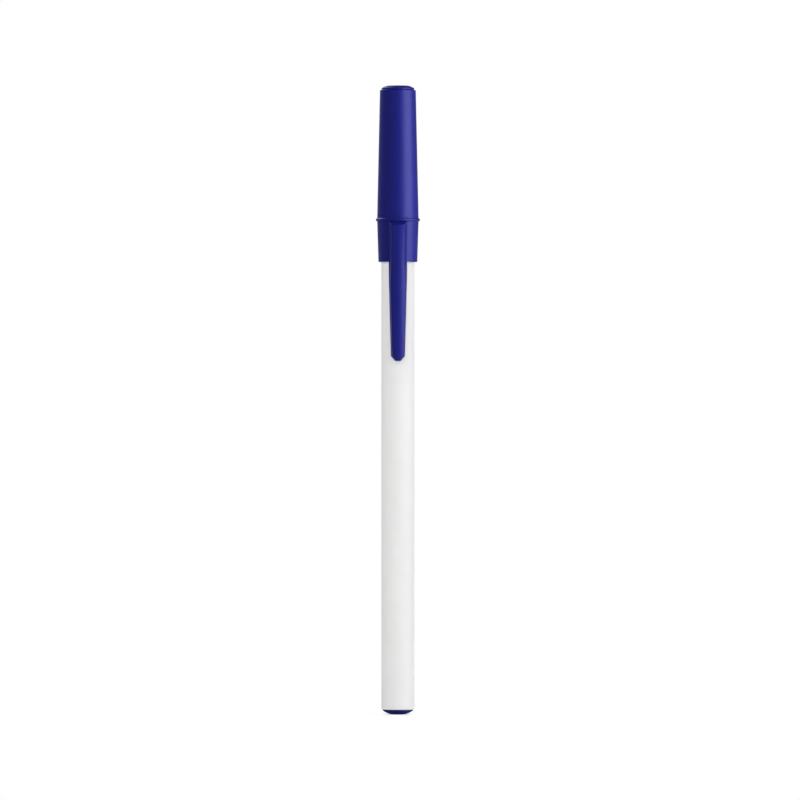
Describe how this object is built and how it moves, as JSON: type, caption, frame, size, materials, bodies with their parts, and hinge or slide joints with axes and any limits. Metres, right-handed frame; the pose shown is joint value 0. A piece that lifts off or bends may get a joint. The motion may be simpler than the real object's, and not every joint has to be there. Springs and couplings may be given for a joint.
{
  "type": "ballpoint pen",
  "caption": "Stick ballpoint pen: plain white round barrel, blue end plug, tapered blue nose with a brass ball point, and a blue pull-off cap with a springy pocket clip.",
  "frame": {"origin": "centre of the end plug's flat bottom face, on the pen's axis", "axes": "+Z along the pen's axis from the end plug to the cap's top, -Y towards the clip, +X to the right when the clip faces the viewer"},
  "size_m": [0.0104, 0.0116, 0.1492],
  "materials": {
    "white_plastic": "satin",
    "blue_plastic": "satin",
    "brass": "satin",
    "hard_metal": "polished",
    "clear_plastic": "satin",
    "ink": "gloss"
  },
  "bodies": {
    "pen": {"barrel": "white_plastic", "end_plug": "blue_plastic", "nose_section": "blue_plastic", "writing_point": "brass", "refill_tube": "clear_plastic", "ink_column": "ink"},
    "ball": {"ball": "hard_metal"},
    "cap": {"cap_shell": "blue_plastic"},
    "clip": {"pocket_clip": "blue_plastic"}
  },
  "joints": [
    {"name": "cap_pull", "type": "slide", "parent": "pen", "child": "cap", "axis": [0, 0, 1], "range_m": [0, 0.04]},
    {"name": "clip_flex", "type": "hinge", "parent": "cap", "child": "clip", "pos_m": [0, -0.00643, 0.10736], "axis": [-1, 0, 0], "range_deg": [0, 4], "stiffness_Nm_per_rad": 0.8},
    {"name": "ball_roll", "type": "hinge", "parent": "pen", "child": "ball", "pos_m": [0, 0, 0.13756], "axis": [1, 0, 0], "continuous": true}
  ]
}
